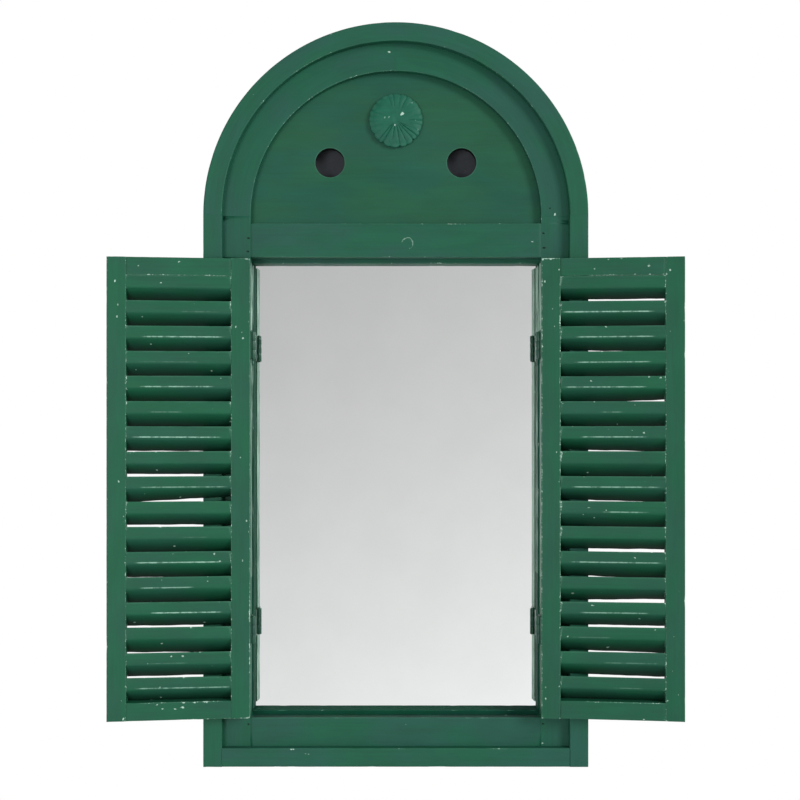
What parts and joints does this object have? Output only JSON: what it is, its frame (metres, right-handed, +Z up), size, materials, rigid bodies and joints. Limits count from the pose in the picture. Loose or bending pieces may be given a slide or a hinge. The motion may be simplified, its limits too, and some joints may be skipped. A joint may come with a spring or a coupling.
{
  "type": "shutter mirror",
  "caption": "Arched wall mirror in a painted wooden frame with a panelled arch, a carved rosette and a pair of hinged louvred shutters.",
  "frame": {"origin": "on the wall, midway between the centres of the two keyhole hangers' mouths", "axes": "+Z up, +Y from the room into the wall, +X to the right as seen from the front; the front faces -Y"},
  "size_m": [0.576, 0.069, 0.754],
  "materials": {
    "case_paint": "matt grey-green paint, worn pale along the edges",
    "board_paint": "matt dark green paint, brushed, worn pale along the edges",
    "panel_paint": "matt dark green paint",
    "rosette_paint": "matt green paint, chipped on the petals",
    "shutter_paint": "matt green paint, worn pale along the edges",
    "slat_paint": "matt green paint, worn pale along the edges",
    "hinge_paint": "painted over with the wood",
    "mirror": "silvered glass",
    "hardboard": "dark hardboard",
    "zinc": "dull zinc plate"
  },
  "bodies": {
    "frame": {"case_left_side": "case_paint", "case_right_side": "case_paint", "case_bottom": "case_paint", "case_arch": "case_paint", "face_left_stile": "board_paint", "face_right_stile": "board_paint", "face_arch_left": "board_paint", "face_arch_right": "board_paint", "face_cross_rail": "board_paint", "face_bottom_rail": "board_paint", "tympanum_panel": "panel_paint", "rosette": "rosette_paint", "mirror_glass": "mirror", "back_panel": "hardboard", "back_panel_tacks": "zinc", "stop_top": "board_paint", "stop_bottom": "board_paint", "stop_left": "board_paint", "stop_right": "board_paint", "left_upper_frame_leaf": "hinge_paint", "left_lower_frame_leaf": "hinge_paint", "right_upper_frame_leaf": "hinge_paint", "right_lower_frame_leaf": "hinge_paint", "left_upper_hinge_pin": "hinge_paint", "left_lower_hinge_pin": "hinge_paint", "right_upper_hinge_pin": "hinge_paint", "right_lower_hinge_pin": "hinge_paint", "frame_hinge_screws": "hinge_paint", "left_hanger_plate": "zinc", "right_hanger_plate": "zinc", "hanger_screws": "zinc"},
    "left_shutter": {"left_hinge_stile": "shutter_paint", "left_meeting_stile": "shutter_paint", "left_top_rail": "shutter_paint", "left_bottom_rail": "shutter_paint", "left_slats": "slat_paint", "left_upper_shutter_leaf": "hinge_paint", "left_lower_shutter_leaf": "hinge_paint", "left_hinge_screws": "hinge_paint"},
    "right_shutter": {"right_hinge_stile": "shutter_paint", "right_meeting_stile": "shutter_paint", "right_top_rail": "shutter_paint", "right_bottom_rail": "shutter_paint", "right_slats": "slat_paint", "right_upper_shutter_leaf": "hinge_paint", "right_lower_shutter_leaf": "hinge_paint", "right_hinge_screws": "hinge_paint"}
  },
  "joints": [
    {"name": "left_shutter_hinge", "type": "hinge", "parent": "frame", "child": "left_shutter", "pos_m": [-0.14525, -0.036, 0], "axis": [0, 0, 1], "range_deg": [0, 173.5]},
    {"name": "right_shutter_hinge", "type": "hinge", "parent": "frame", "child": "right_shutter", "pos_m": [0.14525, -0.036, 0], "axis": [0, 0, -1], "range_deg": [0, 173.5]}
  ]
}
